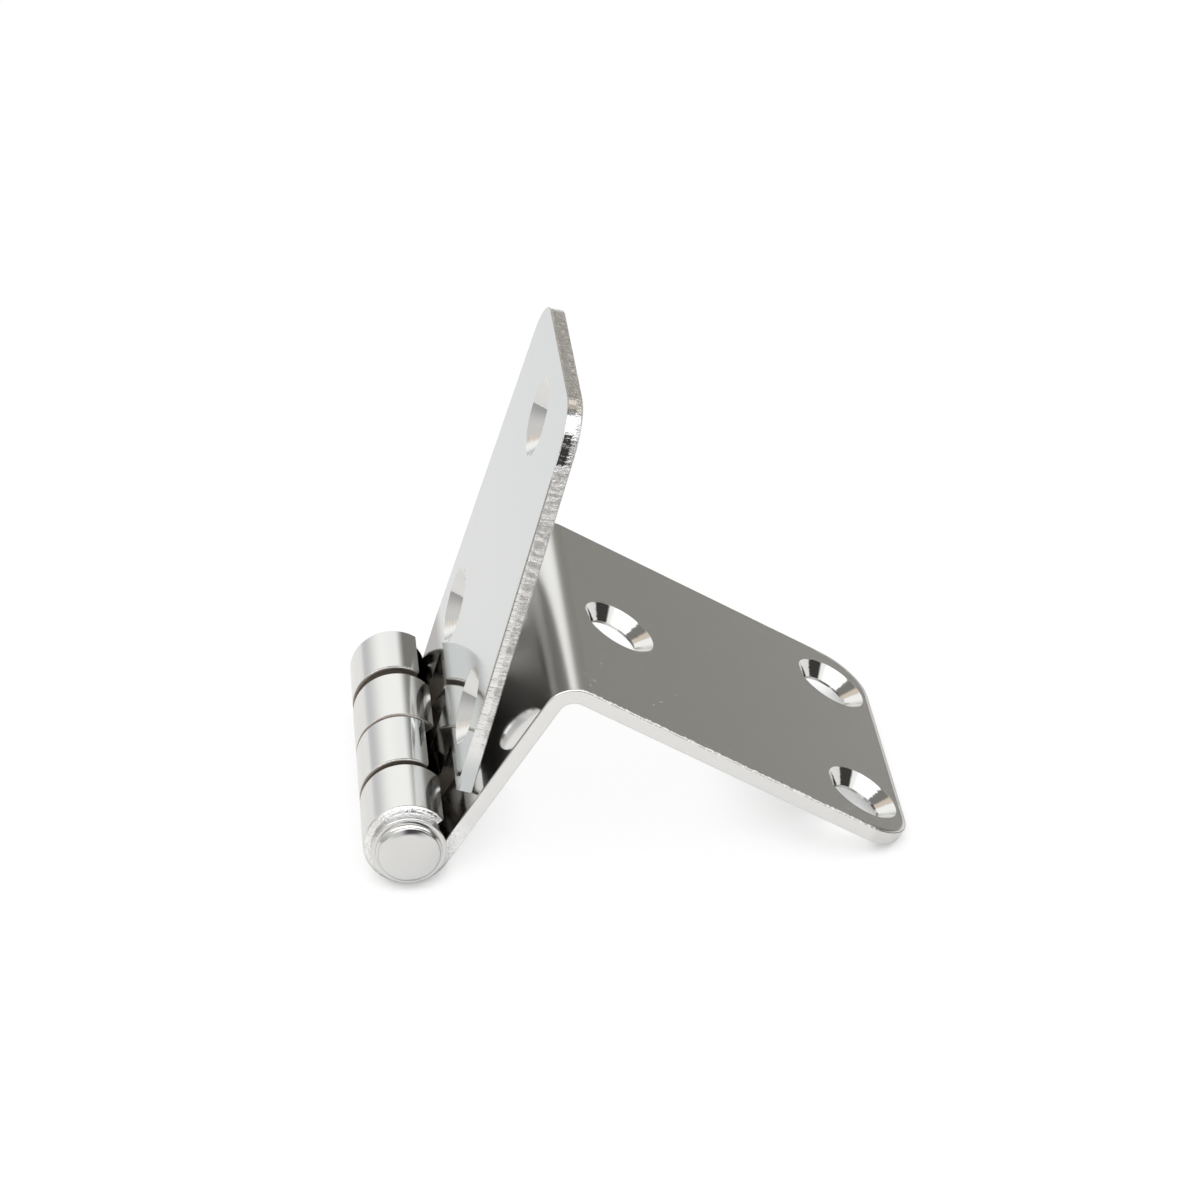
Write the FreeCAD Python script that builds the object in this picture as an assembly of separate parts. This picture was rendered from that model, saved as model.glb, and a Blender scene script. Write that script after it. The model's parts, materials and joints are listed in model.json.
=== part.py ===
# Offset hinge in polished stainless sheet: a flat leaf and a cranked leaf, both rolled into
# knuckles at one end, on one headed pin. It stands on its barrel and on the cranked leaf's end.
# Millimetres and degrees. +Y runs along the pin from its head to its tail, +Z is up.
import math
import os

import FreeCAD
import Part

from FreeCAD import Vector

# Sheet and barrel
SHEET = 1.8
BARREL_DIA = 10.0
ROLL_MOUTH = 18.0         # angle at the pin from the roll's lip to a line along its leaf
NOTCH_DEPTH = 8.1         # from the pin to the foot of the gaps between the knuckles
NOTCH_CORNER_RADIUS = 0.6
EDGE_ROUND = 0.25         # tumbled edge round the cranked leaf and on the rims of all the knuckles

# Knuckles and the gaps between them, from the pin's head to its tail
LEAF_WIDTH = 40.0         # over all four knuckles
KNUCKLE_SHARES = (9.2, 9.75, 9.65, 8.8)  # the knuckles share what the gaps leave in these parts
KNUCKLE_GAPS = (0.9, 0.3, 1.4)

# Cranked leaf
CRANK_TURN = 87.0
CRANK_INSIDE_RADIUS = 1.8
SHORT_LEG = 26.2          # from the pin to the corner where the two legs' outer faces would meet
LONG_LEG = 45.7           # from that corner to the free end
LONG_LEG_CORNER = 6.0

# Flat leaf
FLAT_LEG = 53.0           # from the pin to the free end
FLAT_END_WIDTH = 31.2
FLAT_LEG_CORNER = 5.3
FLAT_EDGE_ROUND = 0.1     # the polish on its screw face only just eases the sheared edges
OPEN_AT_REST = 16.9       # angle between the flat leaf and the short leg as the hinge stands

# Screw holes, with 90 degree countersinks on the face that a screw enters
HOLE_DIA = 6.0
SINK_DIA = 9.0
FLAT_SINGLE_FROM_END = 8.1
FLAT_PAIR_HOLES = 14.2    # from the pin
FLAT_PAIR_SPACING = 23.4
LONG_SINGLE_HOLE = 9.3    # from the corner of the crank
LONG_PAIR_FROM_END = 5.6
LONG_PAIR_SPACING = 25.0

# Pin
PIN_CLEARANCE = 0.05      # on the radius
HEAD_DIA = 8.35
HEAD_THICKNESS = 1.3
HEAD_ROUND = 0.2
FACE_DIA = 7.4
FACE_STEP = 0.7           # the smaller step of the head, proud of the larger one
FACE_ROUND = 0.55
TAIL_DIA = 7.6
TAIL_HEIGHT = 0.7
TAIL_GAP = 0.1

# Sizes that follow from those above
BARREL_RADIUS = BARREL_DIA / 2
BORE_RADIUS = BARREL_RADIUS - SHEET
PIN_RADIUS = BORE_RADIUS - PIN_CLEARANCE
KNUCKLE_UNIT = (LEAF_WIDTH - sum(KNUCKLE_GAPS)) / sum(KNUCKLE_SHARES)
HALF_WIDTH = LEAF_WIDTH / 2
FLAT_SINGLE_HOLE = FLAT_LEG - FLAT_SINGLE_FROM_END
LONG_PAIR_HOLES = LONG_LEG - LONG_PAIR_FROM_END
REACH = 3 * (FLAT_LEG + SHORT_LEG + LONG_LEG)
TOUCH = 1e-4              # two places this close are the same
PIN_AXIS = Vector(0, -1, 0)
HINGE_CENTRE = Vector(0, 0, 0)


def turned(x, z, angle):
    """A point or direction of the XZ plane, turned anticlockwise as seen from the pin's head."""
    a = math.radians(angle)
    return x * math.cos(a) - z * math.sin(a), x * math.sin(a) + z * math.cos(a)


def on_circle(radius, angle):
    return turned(radius, 0, angle)


def rounded_path(points):
    """Lines through (x, z, radius) points with an arc of that radius at each inner one."""
    edges = []
    start = Vector(points[0][0], 0, points[0][1])
    for before, corner, after in zip(points, points[1:], points[2:]):
        here = Vector(corner[0], 0, corner[1])
        back = (Vector(before[0], 0, before[1]) - here).normalize()
        ahead = (Vector(after[0], 0, after[1]) - here).normalize()
        if corner[2] == 0:
            edges.append(Part.LineSegment(start, here).toShape())
            start = here
            continue
        half = back.getAngle(ahead) / 2
        tangent = corner[2] / math.tan(half)
        middle = (back + ahead).normalize() * (corner[2] / math.sin(half) - corner[2])
        edges.append(Part.LineSegment(start, here + back * tangent).toShape())
        edges.append(Part.Arc(here + back * tangent, here + middle, here + ahead * tangent).toShape())
        start = here + ahead * tangent
    end = Vector(points[-1][0], 0, points[-1][1])
    edges.append(Part.LineSegment(start, end).toShape())
    return edges


def rolled_sheet(outline):
    """Sheet rolled into a barrel round the pin, then following the outline's (x, z, radius) points.

    The leaf leaves the barrel along +X from its underside. The outline starts under the pin on the
    sheet's outer face, goes round the free end and comes back on the inner face.
    """
    edges = rounded_path(outline)
    tip = -ROLL_MOUTH
    halfway = (tip - 90 - 180) / 2
    inner = [on_circle(BORE_RADIUS, a) for a in (-90, halfway, tip)]
    outer = [on_circle(BARREL_RADIUS, a) for a in (tip, halfway, -90)]
    for arc in (inner, outer):
        edges.append(Part.Arc(*[Vector(x, 0, z) for x, z in arc]).toShape())
    lip = [Vector(x, 0, z) for x, z in (inner[2], outer[0])]
    edges.append(Part.LineSegment(*lip).toShape())
    section = Part.Face(Part.Wire(Part.__sortEdges__(edges)))
    section.translate(Vector(0, -HALF_WIDTH, 0))
    return section.extrude(Vector(0, LEAF_WIDTH, 0))


def knuckle_bounds():
    """The near and far Y of each knuckle, from the pin's head to its tail."""
    bounds = []
    near = -HALF_WIDTH
    for share, gap in zip(KNUCKLE_SHARES, KNUCKLE_GAPS + (0,)):
        far = near + share * KNUCKLE_UNIT
        bounds.append((near, far))
        near = far + gap
    return bounds


def notched(sheet, own_knuckles):
    """The sheet with the space of the other leaf's knuckles cut out of its rolled end."""
    bounds = knuckle_bounds()
    walls = [-HALF_WIDTH] + [y for i in own_knuckles for y in bounds[i]] + [HALF_WIDTH]
    for near, far in zip(walls[::2], walls[1::2]):
        if far <= near:
            continue
        near -= SHEET if near == -HALF_WIDTH else 0
        far += SHEET if far == HALF_WIDTH else 0
        corner = Vector(-BARREL_DIA, near, -BARREL_DIA)
        space = Part.makeBox(NOTCH_DEPTH + BARREL_DIA, far - near, 2 * BARREL_DIA, corner)
        foot_corners = [e for e in space.Edges if abs(e.CenterOfMass.x - NOTCH_DEPTH) < TOUCH
                        and e.BoundBox.ZLength > BARREL_DIA and abs(e.CenterOfMass.y) < HALF_WIDTH]
        sheet = sheet.cut(space.makeFillet(NOTCH_CORNER_RADIUS, foot_corners))
    return sheet


def is_knuckle_rim(edge):
    """Whether an edge is where the outside of the barrel meets the end of a knuckle."""
    return (isinstance(edge.Curve, Part.Circle) and abs(edge.Curve.Radius - BARREL_RADIUS) < TOUCH
            and edge.Curve.Center.sub(Vector(0, edge.Curve.Center.y, 0)).Length < TOUCH)


def edges_rounded(sheet, radius, free_end, sharp=lambda point: False):
    """Round a sheet's rims, and by the given radius its long edges past the notches.

    Both tests take an edge's middle: free_end is true at the sheet's free end, sharp where the
    shears' edge was left as it is.
    """
    chosen = []
    for edge in sheet.Edges:
        size = edge.BoundBox
        through_sheet = abs(edge.Length - SHEET) < TOUCH
        across = size.YLength > LEAF_WIDTH - 2 * TOUCH and size.XLength < TOUCH
        fold_line = size.YLength > HALF_WIDTH and not free_end(edge.CenterOfMass)
        past_notches = edge.CenterOfMass.x > NOTCH_DEPTH + TOUCH
        if past_notches and not (through_sheet or across or fold_line or sharp(edge.CenterOfMass)):
            chosen.append(edge)
    sheet = sheet.makeFillet(radius, chosen)
    return sheet.makeFillet(EDGE_ROUND, [edge for edge in sheet.Edges if is_knuckle_rim(edge)])


def plan_prism(points):
    """A tall prism on the XY plane from (x, y, radius) points, to trim a leaf's outline."""
    edges = rounded_path(points + [points[0]])
    face = Part.Face(Part.Wire(edges))
    face.rotate(Vector(0, 0, 0), Vector(1, 0, 0), 90)
    face.translate(Vector(0, 0, -REACH / 2))
    prism = face.extrude(Vector(0, 0, REACH))
    return prism


def screw_hole():
    """A countersunk hole's cutter: mouth at z = 0, going down through one sheet."""
    cone = (SINK_DIA - HOLE_DIA) / 2
    over = SHEET
    cutter = Part.makeCone(HOLE_DIA / 2, SINK_DIA / 2, cone, Vector(0, 0, -cone))
    cutter = cutter.fuse(Part.makeCylinder(SINK_DIA / 2, over))
    return cutter.fuse(Part.makeCylinder(HOLE_DIA / 2, SHEET + over, Vector(0, 0, -SHEET - over)))


def pierced(sheet, single, pair, spacing, place):
    """Three screw holes: one on the middle line and a pair; place moves a cutter onto its face."""
    for x, y in ((single, 0), (pair, -spacing / 2), (pair, spacing / 2)):
        cutter = screw_hole()
        cutter.translate(Vector(x, y, 0))
        sheet = sheet.cut(place(cutter))
    return sheet


def flat_leaf():
    """The flat leaf lying along +X, its outer face under the barrel."""
    outline = [(0, -BARREL_RADIUS, 0), (FLAT_LEG, -BARREL_RADIUS, 0),
               (FLAT_LEG, -BORE_RADIUS, 0), (0, -BORE_RADIUS, 0)]
    leaf = notched(rolled_sheet(outline), (1, 3))
    slope = (HALF_WIDTH - FLAT_END_WIDTH / 2) / (FLAT_LEG - NOTCH_DEPTH)
    back = -BARREL_DIA
    wide = HALF_WIDTH + slope * (NOTCH_DEPTH - back)
    narrow = FLAT_END_WIDTH / 2
    leaf = leaf.common(plan_prism([
        (back, 0, 0), (back, -wide, 0), (FLAT_LEG, -narrow, FLAT_LEG_CORNER),
        (FLAT_LEG, narrow, FLAT_LEG_CORNER), (back, wide, 0)]))
    leaf = edges_rounded(leaf, FLAT_EDGE_ROUND, lambda point: abs(point.x - FLAT_LEG) < TOUCH,
                         lambda point: abs(point.z + BARREL_RADIUS) < TOUCH)

    def place(cutter):
        cutter.translate(Vector(0, 0, -BORE_RADIUS))
        return cutter

    return pierced(leaf, FLAT_SINGLE_HOLE, FLAT_PAIR_HOLES, FLAT_PAIR_SPACING, place)


def long_leg_frame(along, proud):
    """A point on the long leg: along it from the crank's corner, and proud of its outer face."""
    x, z = turned(along, proud, -CRANK_TURN)
    return SHORT_LEG + x, z - BORE_RADIUS


def free_corner(proud):
    x, z = long_leg_frame(LONG_LEG, proud)
    return x, 0, z


def cranked_leaf():
    """The cranked leaf with its short leg along +X, its outer face under the barrel."""
    concave_corner = SHORT_LEG - SHEET * math.tan(math.radians(CRANK_TURN / 2))
    outline = [
        (0, -BARREL_RADIUS, 0),
        (concave_corner, -BARREL_RADIUS, CRANK_INSIDE_RADIUS),
        long_leg_frame(LONG_LEG, -SHEET) + (0,),
        long_leg_frame(LONG_LEG, 0) + (0,),
        (SHORT_LEG, -BORE_RADIUS, CRANK_INSIDE_RADIUS + SHEET),
        (0, -BORE_RADIUS, 0)]
    leaf = notched(rolled_sheet(outline), (0, 2))

    def place(cutter):
        cutter.rotate(Vector(0, 0, 0), PIN_AXIS, -CRANK_TURN)
        cutter.translate(Vector(SHORT_LEG, 0, -BORE_RADIUS))
        return cutter

    half = HALF_WIDTH + SHEET
    waist = SHORT_LEG
    trim = plan_prism([
        (-waist, -half, 0), (LONG_LEG / 2, -half, 0), (LONG_LEG / 2, -HALF_WIDTH, 0),
        (LONG_LEG, -HALF_WIDTH, LONG_LEG_CORNER), (LONG_LEG, HALF_WIDTH, LONG_LEG_CORNER),
        (LONG_LEG / 2, HALF_WIDTH, 0), (LONG_LEG / 2, half, 0), (-waist, half, 0)])
    leaf = leaf.common(place(trim))
    end = Vector(*[(a + b) / 2 for a, b in zip(free_corner(0), free_corner(-SHEET))])
    leaf = edges_rounded(leaf, EDGE_ROUND, lambda point: point.distanceToPoint(end) < SHEET)
    return pierced(leaf, LONG_SINGLE_HOLE, LONG_PAIR_HOLES, LONG_PAIR_SPACING, place)


def pin():
    """The headed pin, turned from one bar: stepped head, shank and peened tail."""
    head = -HALF_WIDTH
    step = head - HEAD_THICKNESS
    face = step - FACE_STEP
    tail = HALF_WIDTH + TAIL_GAP
    end = tail + TAIL_HEIGHT
    outline = [(0, face, 0), (FACE_DIA / 2, face, FACE_ROUND), (FACE_DIA / 2, step, 0),
               (HEAD_DIA / 2, step, HEAD_ROUND), (HEAD_DIA / 2, head, 0), (PIN_RADIUS, head, 0),
               (PIN_RADIUS, tail, 0), (TAIL_DIA / 2, tail, 0), (TAIL_DIA / 2, end, TAIL_HEIGHT / 2), (0, end, 0)]
    section = Part.Face(Part.Wire(rounded_path(outline + [outline[0]])))
    section.rotate(HINGE_CENTRE, Vector(1, 0, 0), -90)
    return section.revolve(HINGE_CENTRE, Vector(0, 1, 0), 360)


def lean_on_the_floor():
    """Lean of the short leg at which the long leg's end reaches the floor under the barrel."""
    x, z = long_leg_frame(LONG_LEG, -SHEET)
    distance = math.hypot(x, z)
    return math.degrees(math.asin(-BARREL_RADIUS / distance) - math.atan2(z, x))


short_leg_lean = lean_on_the_floor()
cranked = cranked_leaf()
cranked.rotate(HINGE_CENTRE, PIN_AXIS, short_leg_lean)
flat = flat_leaf()
flat.rotate(HINGE_CENTRE, PIN_AXIS, short_leg_lean + OPEN_AT_REST)
pieces = {"offset_leaf": cranked, "flat_leaf": flat, "hinge_pin": pin()}

# The origin is on the floor under the middle of the standing hinge
far_corner = turned(*long_leg_frame(LONG_LEG, 0), short_leg_lean)
head_end = -HALF_WIDTH - HEAD_THICKNESS - FACE_STEP
tail_end = HALF_WIDTH + TAIL_GAP + TAIL_HEIGHT
to_origin = Vector((BARREL_RADIUS - far_corner[0]) / 2, -(head_end + tail_end) / 2, BARREL_RADIUS)

os.makedirs("parts", exist_ok=True)
for name, shape in pieces.items():
    shape.translate(to_origin)
    solid = shape.removeSplitter()
    solid = solid.Solids[0] if len(solid.Solids) == 1 else solid
    solid.exportStep("parts/" + name + ".step")
    box = solid.BoundBox
    print(name, len(solid.Solids), "solid", solid.isValid(), "volume", round(solid.Volume, 2),
          "box", [round(v, 3) for v in (box.XMin, box.XMax, box.YMin, box.YMax, box.ZMin, box.ZMax)])
print("pin axis at", [round(v, 4) for v in to_origin], "short leg leans", round(short_leg_lean, 3))
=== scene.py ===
# An offset hinge in polished stainless sheet, standing on its barrel and on its cranked leaf's end.
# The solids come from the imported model; this script gives them their finish, and a studio to be seen in.
import json
import math

import bmesh
import bpy
from mathutils import Euler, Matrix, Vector

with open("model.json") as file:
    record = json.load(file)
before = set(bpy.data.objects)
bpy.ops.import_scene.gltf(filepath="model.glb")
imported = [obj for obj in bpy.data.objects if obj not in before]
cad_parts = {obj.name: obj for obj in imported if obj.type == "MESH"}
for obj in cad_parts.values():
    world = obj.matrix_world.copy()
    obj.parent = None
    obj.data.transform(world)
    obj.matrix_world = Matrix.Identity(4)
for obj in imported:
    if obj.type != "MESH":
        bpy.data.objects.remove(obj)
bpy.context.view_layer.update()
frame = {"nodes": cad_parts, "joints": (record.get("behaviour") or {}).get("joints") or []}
nodes = frame["nodes"]
PIN = Vector(frame["joints"][0]["pos_m"])
MM = 0.001

# Studio floor
# A wide sheet of white board. The hinge stands on it, and the steel mirrors it from every side,
# so it is bright everywhere and keeps only the hinge's soft contact shadow.
FLOOR_HALF = 2.0
FLOOR_WHITE = (0.96, 0.955, 0.945)
FLOOR_FAR = (0.92, 0.92, 0.92)        # painted fall-off of light: the board's colour darkens away from the hinge
FLOOR_GLOW = 0.93         # share of plain white that the camera sees over the lit board
PLAIN_WHITE = 1.02
CONTACT_REACH = 2 * MM    # how near the hinge the board keeps its deep shadow
SHADE_REACH = 14 * MM     # the same for a weaker shade, which shows through the screw holes
REACH_SAMPLES = 4


class Shade:
    """A socket in a material, so that shader maths reads as expressions."""

    def __init__(self, tree, link):
        self.tree = tree
        self.link = link

    def node(self, kind, settings=None, out=0, **values):
        """A new node's output. Values are set or linked by the input's name, or i and its number."""
        made = self.tree.nodes.new(kind)
        for name, value in (settings or {}).items():
            setattr(made, name, value)
        for name, value in values.items():
            name = name.replace("_", " ").strip()
            by_number = name[0] == "i" and name[1:].isdigit()
            socket = made.inputs[int(name[1:]) if by_number else name]
            if isinstance(value, Shade):
                self.tree.links.new(value.link, socket)
            else:
                socket.default_value = value
        return Shade(self.tree, made.outputs[out])

    def maths(self, operation, *others):
        values = {"i%d" % i: v for i, v in enumerate((self,) + others)}
        return self.node("ShaderNodeMath", {"operation": operation}, **values)

    def __add__(self, other):
        return self.maths("ADD", other)

    __radd__ = __add__

    def __sub__(self, other):
        return self.maths("SUBTRACT", other)

    def __rsub__(self, other):
        return (self * -1) + other

    def __mul__(self, other):
        return self.maths("MULTIPLY", other)

    __rmul__ = __mul__

    def __abs__(self):
        return self.maths("ABSOLUTE")

    def largest(self, other):
        return self.maths("MAXIMUM", other)

    def smallest(self, other):
        return self.maths("MINIMUM", other)

    def reach(self, other):
        """How far a point with these two coordinates is from the middle."""
        return (self * self + other * other).maths("SQRT")

    def dot(self, direction):
        return self.node("ShaderNodeVectorMath", {"operation": "DOT_PRODUCT"}, out=1, i0=self, i1=direction)

    def ramp(self, low, high, start=0.0, end=1.0):
        """Goes smoothly from start to end as this value goes from low to high."""
        return self.node("ShaderNodeMapRange", {"interpolation_type": "SMOOTHSTEP"}, Value=self, From_Min=low,
                         From_Max=high, To_Min=start, To_Max=end)

    def noise(self, scale, detail, roughness):
        return self.node("ShaderNodeTexNoise", Vector=self, Scale=scale, Detail=detail, Roughness=roughness)

    def mix(self, first, second):
        """The first colour where this value is 0, the second where it is 1."""
        made = self.tree.nodes.new("ShaderNodeMix")
        made.data_type = "RGBA"
        for name, value in (("Factor", self), ("A", first), ("B", second)):
            socket = [s for s in made.inputs if s.name == name and s.enabled][0]
            if isinstance(value, Shade):
                self.tree.links.new(value.link, socket)
            else:
                socket.default_value = tuple(value) + (1.0,)
        return Shade(self.tree, [s for s in made.outputs if s.enabled][0])


def blank_material(name):
    """A new material with no nodes, and a start for its shader expressions."""
    material = bpy.data.materials.new(name)
    material.use_nodes = True
    material.node_tree.nodes.clear()
    return material, Shade(material.node_tree, None)


def finish_material(start, shader):
    output = start.tree.nodes.new("ShaderNodeOutputMaterial")
    start.tree.links.new(shader.link, output.inputs["Surface"])


def object_place(start):
    return start.node("ShaderNodeTexCoord", out=3)


board = bmesh.new()
bmesh.ops.create_grid(board, x_segments=1, y_segments=1, size=FLOOR_HALF)
floor_mesh = bpy.data.meshes.new("floor")
board.to_mesh(floor_mesh)
board.free()
floor = bpy.data.objects.new("floor", floor_mesh)
bpy.context.scene.collection.objects.link(floor)

floor_material, start = blank_material("white board")
place = object_place(start)
away = place.node("ShaderNodeVectorMath", {"operation": "LENGTH"}, out=1, i0=place)
# Painted fall-off of light: the board's colour darkens away from the hinge.
lit = start.node("ShaderNodeBsdfDiffuse", Color=away.ramp(0.04, 0.25).mix(FLOOR_WHITE, FLOOR_FAR))
glow = start.node("ShaderNodeEmission", Color=(1, 1, 1, 1), Strength=PLAIN_WHITE)
near, wide = (start.node("ShaderNodeAmbientOcclusion", {"samples": REACH_SAMPLES}, out=1, Distance=distance)
              for distance in (CONTACT_REACH, SHADE_REACH))
shown = near.ramp(0.3, 0.95, 0.5, FLOOR_GLOW) * wide.ramp(0.1, 0.45, 0.35, 1.0)
seen = start.node("ShaderNodeLightPath", out=0) * shown
finish_material(start, start.node("ShaderNodeMixShader", Fac=seen, i1=lit, i2=glow))
floor_mesh.materials.append(floor_material)

# Studio walls
# What the steel mirrors above the floor: a bright screen behind the hinge, the warm grey, unlit
# side of the room right of it, a grey wall left, a dark one right, and a soft box overhead.
HORIZON = (0.84, 0.84, 0.84)
SCREEN_LOW = (0.71, 0.712, 0.72)
SCREEN_HIGH = (1.24, 1.235, 1.21)
DIM_SIDE = (0.28, 0.27, 0.248)
DIM_EDGE_TURN = 10.4      # degrees to the right of straight back
SOFT_BOX = (2.1, 2.13, 2.18)
CEILING = (0.27, 0.26, 0.245)
CEILING_EDGE = (0.86, 0.76, 0.65)     # warm light on the ceiling, where it meets the screen
LEFT_WALL_LOW = (0.48, 0.475, 0.47)
LEFT_WALL_HIGH = (0.82, 0.81, 0.8)
RIGHT_WALL = (0.06, 0.058, 0.055)
DARK_FRONT = (0.05, 0.047, 0.045)     # behind the camera, right of the middle

world = bpy.data.worlds.new("studio")
bpy.context.scene.world = world
world.use_nodes = True
world.node_tree.nodes.clear()
start = Shade(world.node_tree, None)
way = start.node("ShaderNodeTexCoord", out=0)
edge = math.radians(DIM_EDGE_TURN)
past_dim_edge = way.dot((math.cos(edge), -math.sin(edge), 0))
up = way.dot((0, 0, 1))
back = way.dot((0, 1, 0))
right = way.dot((1, 0, 0))
left = way.dot((-1, 0, 0))

room = up.ramp(0.0, 0.08).mix(HORIZON, SCREEN_LOW)
room = up.ramp(0.11, 0.47).mix(room, SCREEN_HIGH)
dim = past_dim_edge.ramp(-0.06, 0.12) * back.ramp(0.0, 0.3) * up.ramp(0.6, 0.75, 1.0, 0.0)
room = dim.mix(room, DIM_SIDE)

left_wall = up.ramp(0.0, 0.6).mix(LEFT_WALL_LOW, LEFT_WALL_HIGH)
left_wall = back.ramp(0.16, 0.26).mix(left_wall, CEILING_EDGE)
room = (left.ramp(0.5, 0.6) * back.ramp(0.28, 0.36, 1.0, 0.0)).mix(room, left_wall)
room = (right.ramp(0.82, 0.88) * up.ramp(0.4, 0.5, 1.0, 0.0)).mix(room, RIGHT_WALL)

overhead = left.ramp(0.4, 0.5).mix(CEILING, LEFT_WALL_HIGH)
overhead = back.ramp(0.3, 0.42).mix(overhead, CEILING_EDGE)
overhead = back.ramp(0.56, 0.66).mix(overhead, SCREEN_HIGH)
overhead = back.ramp(-0.1, -0.02).mix(SOFT_BOX, overhead)
room = up.ramp(0.55, 0.68).mix(room, overhead)

front = back.ramp(-0.72, -0.6, 1.0, 0.0) * up.ramp(0.06, 0.12) * up.ramp(0.5, 0.62, 1.0, 0.0)
room = (front * right.ramp(-0.2, 0.0)).mix(room, DARK_FRONT)
camera_ray = start.node("ShaderNodeLightPath", out=0)
sky = start.node("ShaderNodeBackground", Color=camera_ray.mix(room, (1, 1, 1)), Strength=1.0)
world_output = world.node_tree.nodes.new("ShaderNodeOutputWorld")
world.node_tree.links.new(sky.link, world_output.inputs["Surface"])

# Cranked leaf
# One sheet of stainless steel, rolled into two knuckles and bent once, then polished all over:
# near mirror on the knuckles, a satin polish past the bend, the countersinks bright from the cutter.
STEEL = (0.69, 0.69, 0.68)
PAINTED_ROLL_SHADE = (0.16, 0.15, 0.14)       # painted shade, near black, inside the rolls and in their mouths
SAWN_AND_SHADED = (0.32, 0.283, 0.245)           # the knuckles' sawn end faces in the gaps between them, darkened with painted shade
LIGHTENED_OUTER_FACE = (0.86, 0.86, 0.85)       # the barrel's two outermost end faces, lighter than the steel: painted light
# painted highlight: the narrow edges are lighter than the steel
PAINTED_EDGE_HIGHLIGHT = (0.76, 0.76, 0.75)
CHIPPED = (0.8, 0.79, 0.77)           # dull flecks in the satin face, and chips along its edge
BARREL_ROUGH = 0.16
LEG_ROUGH = 0.09
SATIN_ROUGH = 0.26
SAWN_ROUGH = 0.55
OUTER_FACE_ROUGH = 0.25
SINK_ROUGH = 0.07
FLECK_GRAIN = 2400        # this scale and the next ones are per metre
TORN_GRAIN = 3400
UNEVEN_GRAIN = 600
LINE_SCALE = 1900         # fine lines of the shears, along and across the sheet
LINE_STRETCH = 330        # and through it
RING_SCALE = 5000         # the cutter's rings, outwards from the hole's middle
RING_STRETCH = 300        # and round it
KNUCKLE_PLANES = (-10.8, -9.9, -0.15, 0.15, 9.8, 11.2)      # mm, both sides of each gap
SAWN_BAND = 0.13          # mm on both sides of a plane, with a part of the rim's rounding, whose highlight the painted shade dims
OUTER_PLANES = (-20.0, 20.0)
OUTER_BAND = 0.06
HALF_WIDTH = 20 * MM
BORE_RADIUS = 3.3 * MM    # a little more than the rolled sheet's inside
INNER_FACE = 3.2 * MM     # from the pin's axis to the leaf's inner face at the roll's mouth
SINK_RADIUS = 4.5 * MM
SHORT_LEG_LEAN = 56.153   # degrees from the floor
LONG_LEG_LEAN = SHORT_LEG_LEAN - 87
CRANK_HOLE = Vector((-1.354, 0.6, 18.793)) * MM             # the single hole's mouth
CRANK_HOLES = ((0.0, 0.0), (30.8, 12.5))      # mm down the leg from that hole and to each side
CORNER_FROM_HOLE = 30.4 * MM          # the rounded corners' centres, down the leg and to each side
CORNER_SIDE = 14 * MM
PROUD_HEIGHT = 0.5 * MM   # how far the barrel's end face rises from its rim
EASED_SHARE = 0.6         # of that height, by which the long leg's face eases off at its corners
RING_DEPTH = 0.015 * MM


def from_point(start, point, lean):
    """A place along, across and above a sheet that leans by some degrees and passes a point."""
    place = object_place(start)
    place = place.node("ShaderNodeVectorMath", {"operation": "SUBTRACT"}, i0=place, i1=tuple(point))
    turn = math.radians(lean)
    along = place.dot((math.cos(turn), 0, math.sin(turn)))
    across = place.dot((0, 1, 0))
    above = place.dot((-math.sin(turn), 0, math.cos(turn)))
    return along, across, above


def grain(along, across, above, scale, detail=3.0, roughness=0.7):
    place = along.node("ShaderNodeCombineXYZ", X=along, Y=across, Z=above)
    return place.noise(scale, detail, roughness)


def in_the_roll(along, proud):
    """How far a point is inside a roll or in its mouth, between the knuckle's lip and its leaf."""
    in_bore = along.reach(proud).ramp(BORE_RADIUS - 0.05 * MM, BORE_RADIUS + 0.05 * MM, 1.0, 0.0)
    on_inner_face = abs(proud + INNER_FACE).ramp(0.2 * MM, 0.4 * MM, 1.0, 0.0)
    in_mouth = on_inner_face * along.ramp(7.0 * MM, 10.0 * MM, 1.0, 0.0) * along.ramp(0.0, 1.0 * MM)
    return in_bore.largest(in_mouth)


def on_planes(value, planes, half_thickness):
    """How far a value is at one of the planes."""
    nearest = None
    for plane in planes:
        gap = abs(value - plane * MM)
        nearest = gap if nearest is None else nearest.smallest(gap)
    return nearest.ramp(half_thickness * 0.8 * MM, half_thickness * MM, 1.0, 0.0)


def sheared(along, across, proud, amount):
    """Marks of the shears across a sheet's narrow edges: fine lines, and torn grains towards the back."""
    lines = along.node("ShaderNodeCombineXYZ", X=along * LINE_SCALE, Y=across * LINE_SCALE,
                       Z=proud * LINE_STRETCH)
    lines = lines.noise(1.0, 3.0, 0.65)
    grains = grain(along, across, proud, TORN_GRAIN)
    uneven = grain(along, across, proud, UNEVEN_GRAIN, 2.0, 0.6)
    tearing_starts = along.ramp(12.0 * MM, 45.0 * MM, -4.35 * MM, -3.3 * MM)
    past_start = proud + grains * (0.3 * MM) + uneven * (0.5 * MM) - 0.4 * MM - tearing_starts
    torn = past_start.ramp(0.2 * MM, -0.2 * MM)
    lines = lines.ramp(0.4, 0.6) * torn.ramp(0.0, 1.0, 0.3, 0.8)
    return (lines + grains.ramp(0.3, 0.7) * torn * 0.55) * amount


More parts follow.
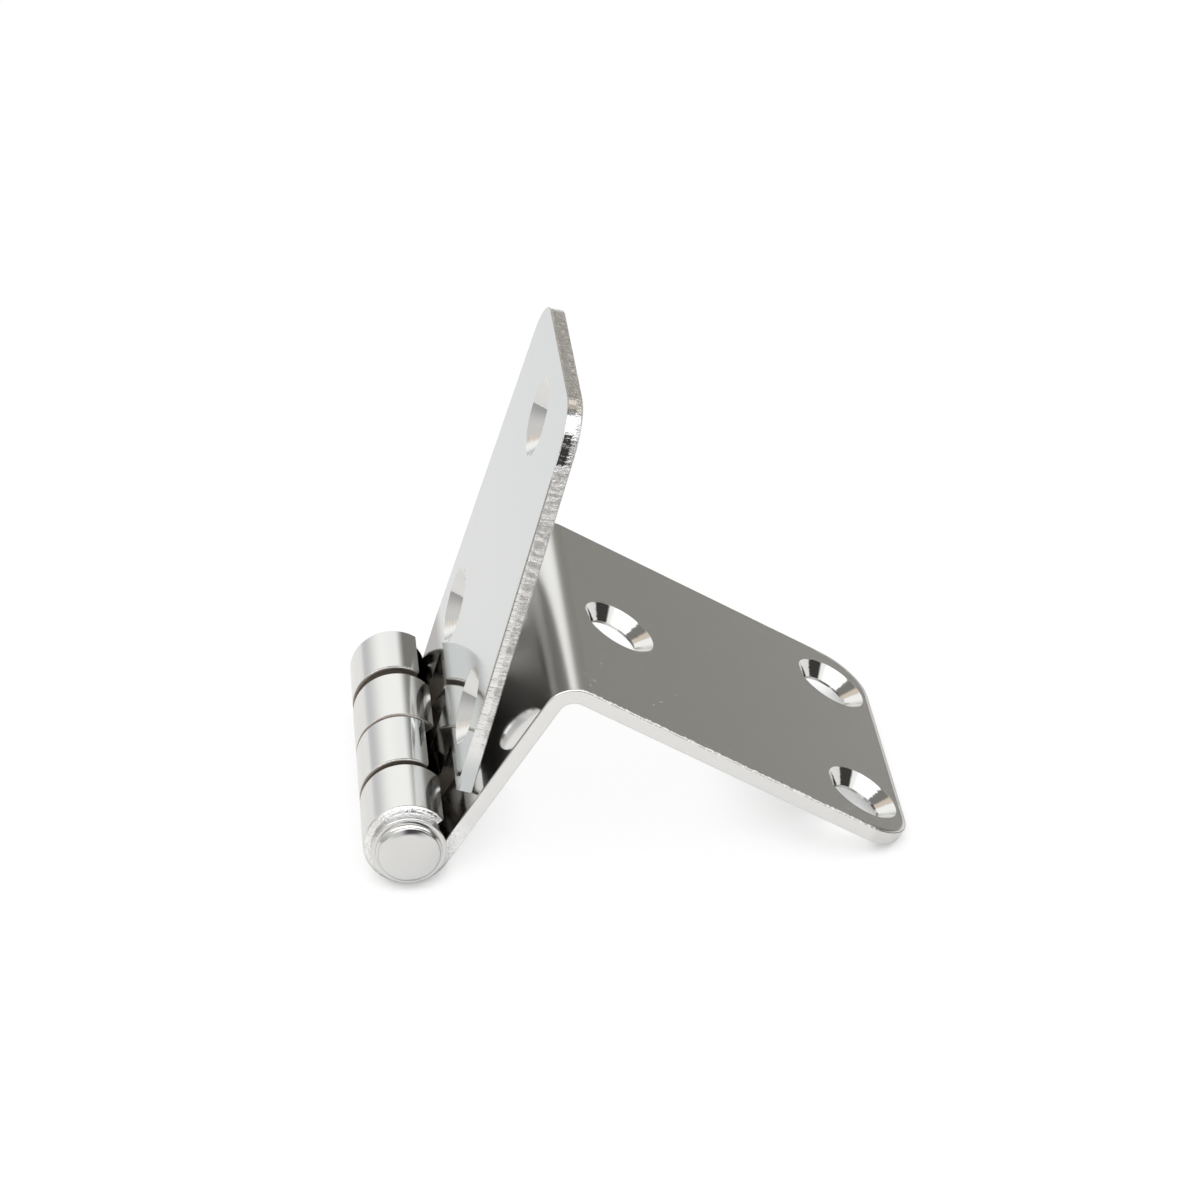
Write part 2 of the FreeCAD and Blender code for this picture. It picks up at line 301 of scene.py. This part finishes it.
def in_holes(along, across, holes):
    """How far a point is in one of a leaf's countersunk holes, and the cutter's rings in them."""
    nearest = None
    for hole_along, hole_across in holes:
        gap_along = along - hole_along * MM
        gap_across = abs(across) - hole_across * MM
        gap = gap_along * gap_along + gap_across * gap_across
        nearest = gap if nearest is None else nearest.smallest(gap)
    nearest = nearest.maths("SQRT")
    inside = nearest.ramp(SINK_RADIUS - 0.06 * MM, SINK_RADIUS + 0.02 * MM, 1.0, 0.0)
    rings = nearest.node("ShaderNodeCombineXYZ", X=nearest * RING_SCALE, Y=across * RING_STRETCH,
                         Z=along * RING_STRETCH)
    return inside, rings.noise(1.0, 2.0, 0.6)


def bumped(start, height, distance, under=None):
    """The surface's direction with a height over it, on top of another bump where one is given."""
    values = {} if under is None else {"Normal": under}
    return start.node("ShaderNodeBump", Strength=1.0, Distance=distance, Height=height, **values)


def steel(start, base, rough, bump, metallic=1.0):
    return start.node("ShaderNodeBsdfPrincipled", Base_Color=base, Metallic=metallic, Roughness=rough,
                      Normal=bump)


cranked_steel, start = blank_material("polished cranked leaf")
along, across, proud = from_point(start, PIN, SHORT_LEG_LEAN)
past_bend = along.ramp(22.0 * MM, 25.0 * MM)
barrel = along.ramp(4.0 * MM, 6.0 * MM, 1.0, 0.0)
knuckle_ends = on_planes(across, KNUCKLE_PLANES, SAWN_BAND) * barrel
outer_end = on_planes(across, OUTER_PLANES, OUTER_BAND) * barrel
narrow_edge = abs(across).ramp(HALF_WIDTH - 0.15 * MM, HALF_WIDTH - 0.05 * MM)
down_leg, _, off_leg = from_point(start, CRANK_HOLE, LONG_LEG_LEAN)
holes, rings = in_holes(down_leg, across, CRANK_HOLES)
holes = holes * past_bend

# Flecks in the satin face past the bend, and chips along its near and far edge.
grains = grain(along, across, proud, FLECK_GRAIN)
on_face = off_leg.ramp(1.5 * MM, 1.6 * MM)
specks = grains.ramp(0.67, 0.72) * past_bend * on_face * (1 - holes)
at_edge = abs(across).ramp(HALF_WIDTH - 0.32 * MM, HALF_WIDTH - 0.22 * MM) * off_leg.ramp(1.42 * MM, 1.5 * MM)
flecks = specks.largest(grains.ramp(0.48, 0.54) * at_edge * past_bend)

# Painted shade inside the rolls and in their mouths.
base = in_the_roll(along, proud).mix(STEEL, PAINTED_ROLL_SHADE)
# Painted highlight on the narrow edges.
base = narrow_edge.mix(base, PAINTED_EDGE_HIGHLIGHT)
# Painted shade in the gaps, over the knuckles' sawn end faces.
base = knuckle_ends.mix(base, SAWN_AND_SHADED)
# Painted light on the barrel's two outermost end faces.
base = outer_end.mix(base, LIGHTENED_OUTER_FACE)
base = flecks.mix(base, CHIPPED)
rough = along.ramp(5.0 * MM, 7.0 * MM, BARREL_ROUGH, LEG_ROUGH).largest(past_bend * SATIN_ROUGH)
rough = rough.largest(knuckle_ends * SAWN_ROUGH).largest(outer_end * OUTER_FACE_ROUGH)
rough = rough.smallest(holes.ramp(0.0, 1.0, 1.0, SINK_ROUGH))

# The face eases off round its two rounded corners, and the barrel's end face has a raised middle.
past_corner = (down_leg - CORNER_FROM_HOLE).largest(0.0)
past_side = (abs(across) - CORNER_SIDE).largest(0.0)
eased = past_corner.reach(past_side).ramp(5.4 * MM, 6.3 * MM) * down_leg.ramp(29 * MM, 32 * MM) * on_face
proud_ring = along.reach(proud).ramp(4.0 * MM, 5.2 * MM, 1.0, 0.0)
proud_ring = (proud_ring + grains.ramp(0.45, 0.75) * 0.12) * outer_end
bump = bumped(start, rings * holes, RING_DEPTH)
bump = bumped(start, proud_ring - eased * EASED_SHARE, PROUD_HEIGHT, bump)
finish_material(start, steel(start, base, rough, bump, 1 - flecks))
nodes["offset_leaf"].material_slots[0].material = cranked_steel

# Flat leaf
# The second sheet, rolled into the other two knuckles, its screw face polished to a mirror and its
# narrow edges left as the shears cut them.
FLAT_LEAF_LEAN = SHORT_LEG_LEAN + 16.9
# painted shade: the screw face is darker and bluer than the same sheet's knuckles
SHADED_FLAT_STEEL = (0.55, 0.577, 0.584)
FLAT_BACK = (0.5, 0.49, 0.48)
# painted light: the sheared sides are lighter than the steel of the face; their shear marks are real
LIGHTENED_SHEARED_SIDE = (0.8, 0.795, 0.78)
SHEARED_END = (0.46, 0.44, 0.408)
END_GRAINS = (0.78, 0.75, 0.71)
MARKS_DARK = (0.4, 0.385, 0.37)
EDGE_SHADOW = (0.36, 0.34, 0.32)        # painted shadow line along the front of the narrow edge
MIRROR_ROUGH = 0.07
BACK_ROUGH = 0.3
SHEARED_ROUGH = 0.2
CORNER_ROUGH = 0.08
END_GRAIN = 2600
TAPER = 0.0980            # the half width's loss per length along the leaf, from the knuckles' foot
SIDE_AT_PIN = HALF_WIDTH + 8.1 * MM * TAPER   # where the tapered side would meet the pin's plane
FLAT_END = 53.0 * MM
CORNER_CENTRE = (47.7 * MM, 10.79 * MM)
CORNER_STARTS = 46.5 * MM
FLAT_HOLES = ((44.9, 0.0), (14.2, 11.7))      # mm along from the pin and to each side
FRONT_FACE = -3.33 * MM   # just inside the sheet's screw face
BACK_FACE = -4.9 * MM     # and just inside its back
MARK_DEPTH = 0.09 * MM
TURN_HEIGHT = 8           # of the side's soft turn into the corner, in depths of the marks
FLAT_RING_DEPTH = 0.012 * MM

flat_steel, start = blank_material("mirror polished flat leaf")
along, across, proud = from_point(start, PIN, FLAT_LEAF_LEAN)
side = abs(across) + along * TAPER - SIDE_AT_PIN
on_side = side.ramp(-0.05 * MM, -0.02 * MM) * along.ramp(10.0 * MM, 14.0 * MM)
on_end = (along - FLAT_END).ramp(-0.05 * MM, -0.02 * MM)
corner_along = (along - CORNER_CENTRE[0]).largest(0.0)
corner_across = (abs(across) - CORNER_CENTRE[1]).largest(0.0)
on_corner = corner_along.reach(corner_across).ramp(5.25 * MM, 5.28 * MM) * corner_along.ramp(0.1 * MM, 0.3 * MM)
on_edge = on_side.largest(on_end).largest(on_corner)
on_back = proud.ramp(BACK_FACE - 0.05 * MM, BACK_FACE + 0.05 * MM, 1.0, 0.0)
barrel = along.ramp(4.0 * MM, 6.0 * MM, 1.0, 0.0)
knuckle_ends = on_planes(across, KNUCKLE_PLANES, SAWN_BAND) * barrel
holes, rings = in_holes(along, across, FLAT_HOLES)
holes = holes * (1 - barrel)

# The marks fade at the knuckles, and round the corner, where they only stay towards the back.
at_corner = along.ramp(CORNER_STARTS, CORNER_STARTS + 1.0 * MM) * (1 - on_end)
amount = along.ramp(11.0 * MM, 18.0 * MM, 0.1, 1.0) * at_corner.ramp(0.0, 1.0, 1.0, 0.12)
amount = amount + at_corner * proud.ramp(-4.0 * MM, -4.5 * MM, 0.0, 0.35)
marks = sheared(along, across, proud, amount) * on_edge
end_grains = grain(along, across, proud, END_GRAIN).ramp(0.46, 0.6)
end_grains = end_grains * proud.ramp(-3.6 * MM, -4.6 * MM, 0.2, 0.9) * on_end.largest(on_corner)
# A painted shadow line along the front of the narrow edge, where it meets the screw face.
edge_shadow = proud.ramp(FRONT_FACE - 0.07 * MM, FRONT_FACE) * side.ramp(-0.12 * MM, -0.08 * MM)
edge_shadow = edge_shadow * along.ramp(14.0 * MM, 20.0 * MM) * along.ramp(45.0 * MM, 46.0 * MM, 1.0, 0.0)

# Painted shade on the screw face; the knuckles and countersinks keep the steel's colour.
base = barrel.largest(holes).mix(SHADED_FLAT_STEEL, STEEL)
# Painted shade inside the rolls and in their mouths.
base = in_the_roll(along, proud).mix(base, PAINTED_ROLL_SHADE)
base = on_back.mix(base, FLAT_BACK)
# Painted light on the sheared narrow edges.
base = on_edge.mix(base, LIGHTENED_SHEARED_SIDE)
base = on_end.mix(base, SHEARED_END)
base = end_grains.mix(base, END_GRAINS)
# Painted shade in the gaps, over the knuckles' sawn end faces.
base = knuckle_ends.mix(base, SAWN_AND_SHADED)
base = (marks * (1 - on_end) * 0.75).mix(base, MARKS_DARK)
# Painted shadow line at the front of the narrow edge.
base = edge_shadow.mix(base, EDGE_SHADOW)
edge_rough = on_edge * at_corner.ramp(0.0, 1.0, SHEARED_ROUGH, CORNER_ROUGH)
rough = on_back.ramp(0.0, 1.0, MIRROR_ROUGH, BACK_ROUGH).largest(edge_rough)
rough = rough.largest(knuckle_ends * SAWN_ROUGH)

# The side turns softly into the rounded corner.
soft_turn = along.ramp(46.3 * MM, 49.3 * MM) * on_edge * TURN_HEIGHT
bump = bumped(start, marks - soft_turn, MARK_DEPTH)
bump = bumped(start, rings * holes, FLAT_RING_DEPTH, bump)
finish_material(start, steel(start, base, rough, bump))
nodes["flat_leaf"].material_slots[0].material = flat_steel

# Pin
# Turned from stainless bar, with a head in two steps, its face crowned.
# It is taken to be pressed into the cranked leaf's knuckles, so that the flat leaf's turn on it.
PIN_ROUGH = 0.14
HEAD_FACE = -21.9 * MM    # just inside the head's face
CROWN_INNER = 1.9 * MM
CROWN_OUTER = 4.2 * MM
CROWN_HEIGHT = 0.6 * MM

pin_steel, start = blank_material("polished pin")
along, across, above = from_point(start, PIN, 0)
on_head = across.ramp(HEAD_FACE - 0.05 * MM, HEAD_FACE, 1.0, 0.0)
crown = along.reach(above).ramp(CROWN_INNER, CROWN_OUTER, 1.0, 0.0) * on_head
finish_material(start, steel(start, STEEL + (1,), PIN_ROUGH, bumped(start, crown, CROWN_HEIGHT)))
nodes["hinge_pin"].material_slots[0].material = pin_steel

# Camera
# Level with the eye of someone bending over a bench, a long lens at about half a metre.
# Its place, turn and lens were fitted to the photograph together with the hinge's sizes.
CAMERA_PLACE = Vector((-38.3, -384.9, 234.1)) * MM
CAMERA_TURN = (61.485, -0.024, -5.262)
LENS = 117.13
SENSOR_WIDTH = 36.0

camera_data = bpy.data.cameras.new("camera")
camera_data.lens = LENS
camera_data.sensor_width = SENSOR_WIDTH
camera_data.clip_start = 10 * MM
camera = bpy.data.objects.new("camera", camera_data)
camera.location = CAMERA_PLACE
camera.rotation_euler = Euler([math.radians(a) for a in CAMERA_TURN])
bpy.context.scene.collection.objects.link(camera)
bpy.context.scene.camera = camera
bpy.context.scene.view_settings.view_transform = "Standard"
